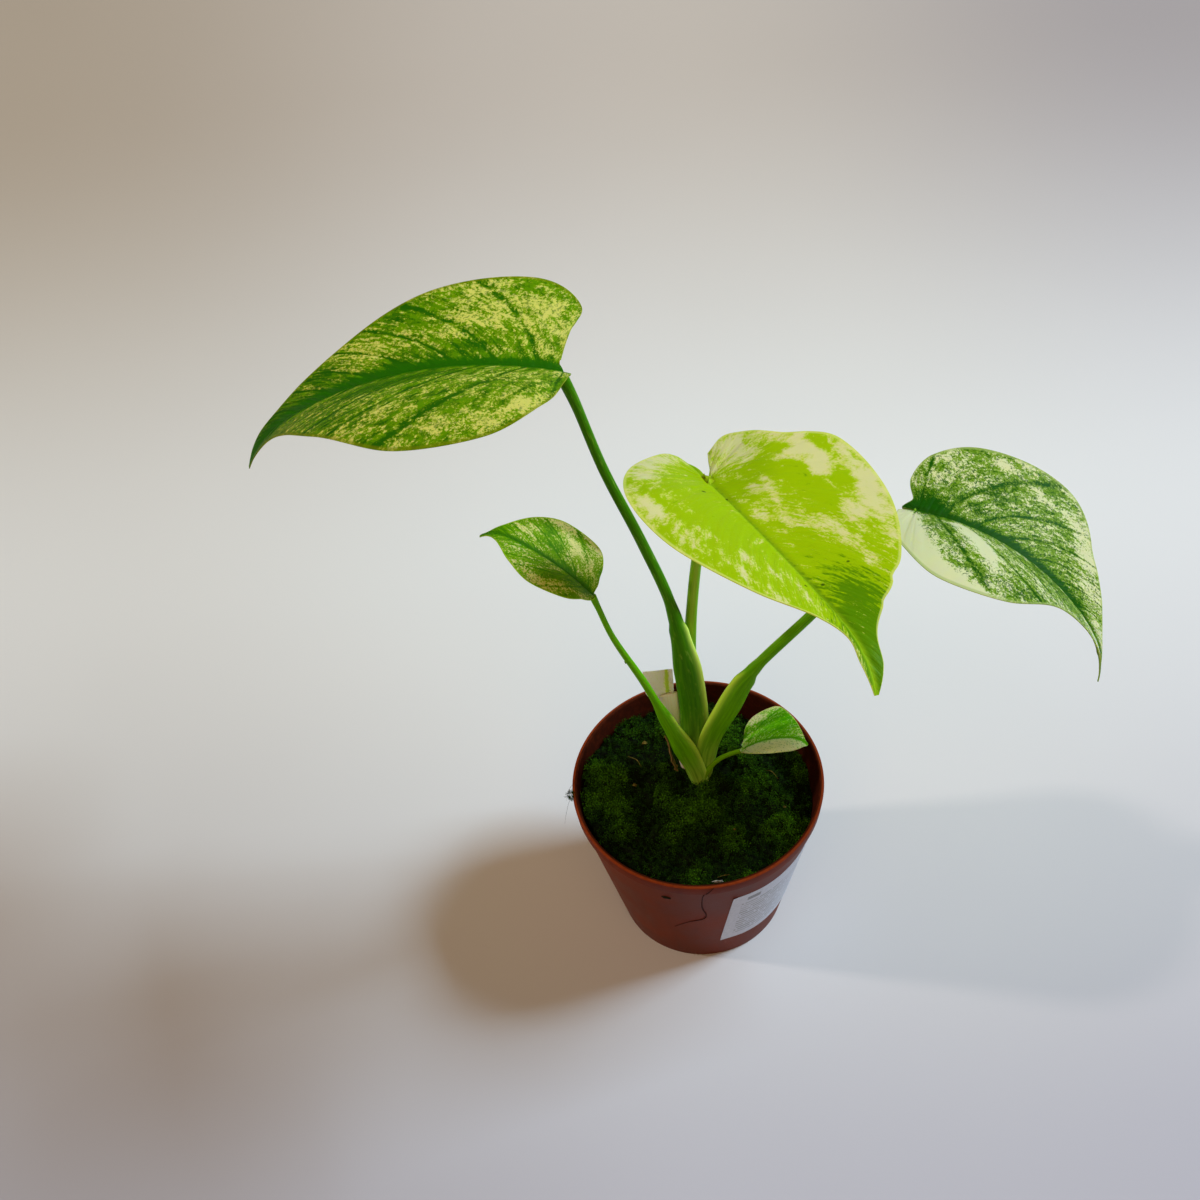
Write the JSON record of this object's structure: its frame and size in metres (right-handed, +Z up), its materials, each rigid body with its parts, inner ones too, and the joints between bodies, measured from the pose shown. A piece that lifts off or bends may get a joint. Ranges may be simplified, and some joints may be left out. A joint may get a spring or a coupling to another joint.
{
  "type": "potted monstera plant",
  "caption": "Young variegated monstera with large heart-shaped leaves on slender stalks, in a small round plastic nursery pot covered with moss.",
  "frame": {"origin": "centre of the pot's underside, on the surface that it stands on", "axes": "+Z up along the pot's axis, +X to the right and +Y to the back as the plant is seen from its front"},
  "size_m": [0.2758, 0.177, 0.2513],
  "materials": {
    "pot_plastic": "thin moulded terracotta-coloured plastic, lightly glossy, with dust and fine scuffs",
    "label_paper": "white coated paper sticker with faint plain grey ruled bars",
    "soil": "dark crumbly potting soil",
    "moss": "soft dark green moss with brighter tufts",
    "stem_bark": "smooth pale green-brown stem skin",
    "stalk_green": "smooth waxy green stalk skin",
    "stalk_pale": "drying pale stalk skin",
    "leaf_cream_green": "satin leaf, green streaked and speckled with cream",
    "leaf_lime": "satin leaf, lime with cream patches",
    "leaf_mint_green": "satin leaf, dark green marbled with mint and cream",
    "leaf_pale": "thin pale old leaf",
    "dry_scale": "dry brown papery scale"
  },
  "bodies": {
    "root": {"pot": "pot_plastic", "label": "label_paper", "soil": "soil", "moss": "moss", "stem": "stem_bark", "petiole_tall_left": "stalk_green", "petiole_lime": "stalk_green", "petiole_right": "stalk_green", "petiole_small_left": "stalk_green", "petiole_tiny": "stalk_green", "cut_leaf_stalk": "stalk_pale", "blade_tall_left": "leaf_cream_green", "blade_lime": "leaf_lime", "blade_right": "leaf_mint_green", "blade_small_left": "leaf_cream_green", "blade_tiny": "leaf_mint_green", "cut_leaf": "leaf_pale", "dry_sheath": "dry_scale"}
  },
  "joints": []
}
